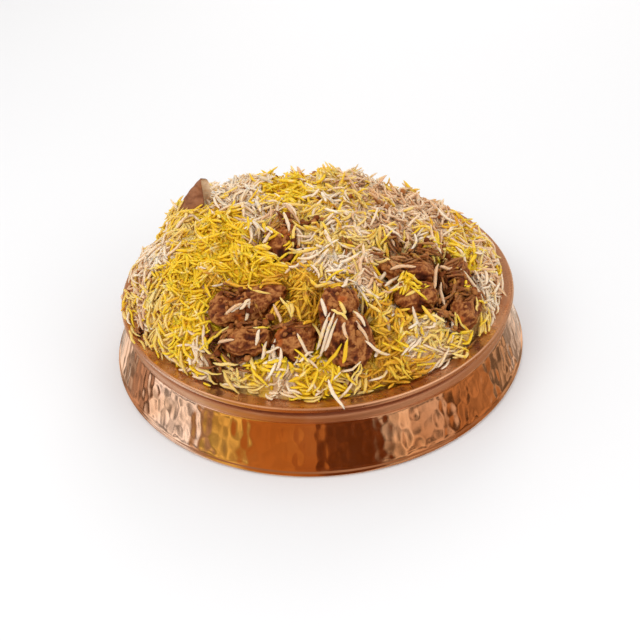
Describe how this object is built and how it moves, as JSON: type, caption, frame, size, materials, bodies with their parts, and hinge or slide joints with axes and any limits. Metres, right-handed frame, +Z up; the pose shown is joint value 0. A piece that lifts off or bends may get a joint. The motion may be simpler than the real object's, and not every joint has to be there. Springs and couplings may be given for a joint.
{
  "type": "mutton biryani in a hammered copper pan",
  "caption": "Mutton biryani heaped in its round copper pan: long white and saffron rice, chunks of meat and a folded bay leaf over a hammered wall.",
  "frame": {"origin": "middle of the pan's underside, on the surface it stands on", "axes": "+Z up, -Y to the front of the dish where most of the meat lies, +X to the right"},
  "size_m": [0.2674, 0.2674, 0.1036],
  "materials": {
    "copper": "polished copper, hammered wall",
    "rice": "cooked long-grain rice, white, pale yellow and saffron yellow",
    "mutton": "braised meat with an oily masala coat",
    "leaf": "cooked bay leaf, brown outside and pale inside"
  },
  "bodies": {
    "root": {"pan": "copper", "rice": "rice", "mutton_1": "mutton", "mutton_2": "mutton", "mutton_3": "mutton", "mutton_4": "mutton", "mutton_5": "mutton", "mutton_6": "mutton", "mutton_7": "mutton", "mutton_8": "mutton", "mutton_9": "mutton", "bay_leaf": "leaf"}
  },
  "joints": []
}
